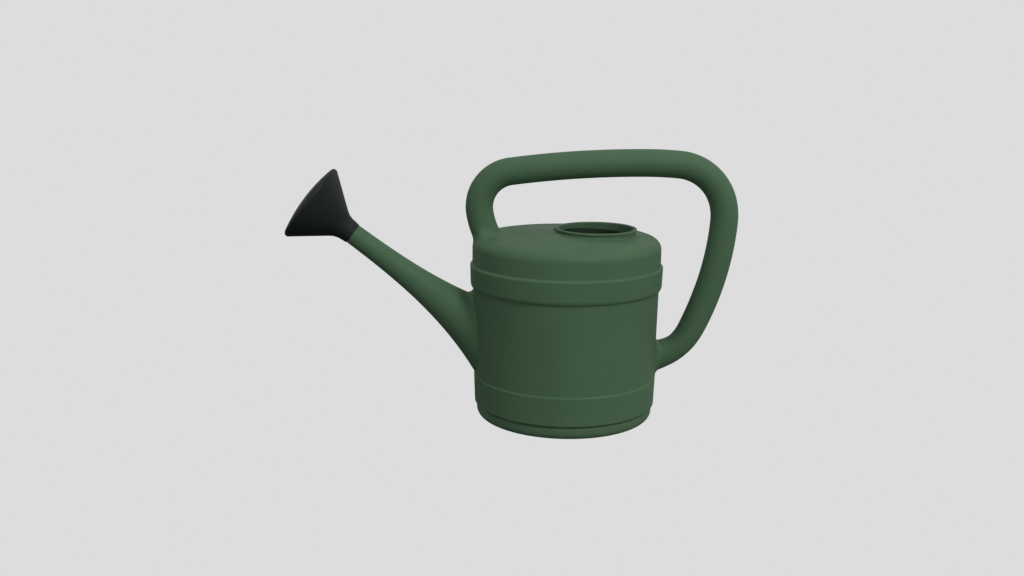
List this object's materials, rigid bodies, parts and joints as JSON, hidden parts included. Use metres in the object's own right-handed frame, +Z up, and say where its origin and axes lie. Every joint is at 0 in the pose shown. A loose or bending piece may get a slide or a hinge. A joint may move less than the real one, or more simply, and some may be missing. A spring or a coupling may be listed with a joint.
{
  "type": "watering can",
  "caption": "Drum-shaped plastic garden watering can with a domed cover, open fill mouth, tube handle bridging cover and drum, trumpet spout and a pull-off sprinkler rose.",
  "frame": {"origin": "centre of the foot on the floor, on the axis of the drum", "axes": "+Z up the drum's axis, -X toward the spout and rose, +X toward the back of the handle, +Y completes a right-handed frame"},
  "size_m": [0.5804, 0.2476, 0.349],
  "materials": {
    "can_green": "satin moulded polyethylene with a fine grain",
    "rose_black": "satin moulded polyethylene",
    "seal_black": "matt rubber",
    "steel": "zinc plated"
  },
  "bodies": {
    "can": {"tank": "can_green", "top_cover": "can_green", "cover_seal": "seal_black", "handle": "can_green", "handle_screws": "steel", "screw_washers": "seal_black", "spout": "can_green", "spout_seal": "seal_black", "spout_nut": "can_green"},
    "rose_washer": {"rose_seal": "seal_black"},
    "rose": {"rose_shell": "rose_black", "rose_face": "rose_black"}
  },
  "joints": [
    {"name": "rose_pull", "type": "slide", "parent": "can", "child": "rose_washer", "axis": [-0.7997, 0, 0.6004], "range_m": [0, 0.045]},
    {"name": "rose_turn", "type": "hinge", "parent": "rose_washer", "child": "rose", "pos_m": [-0.275, 0, 0.2368], "axis": [-0.7997, 0, 0.6004], "continuous": true}
  ]
}
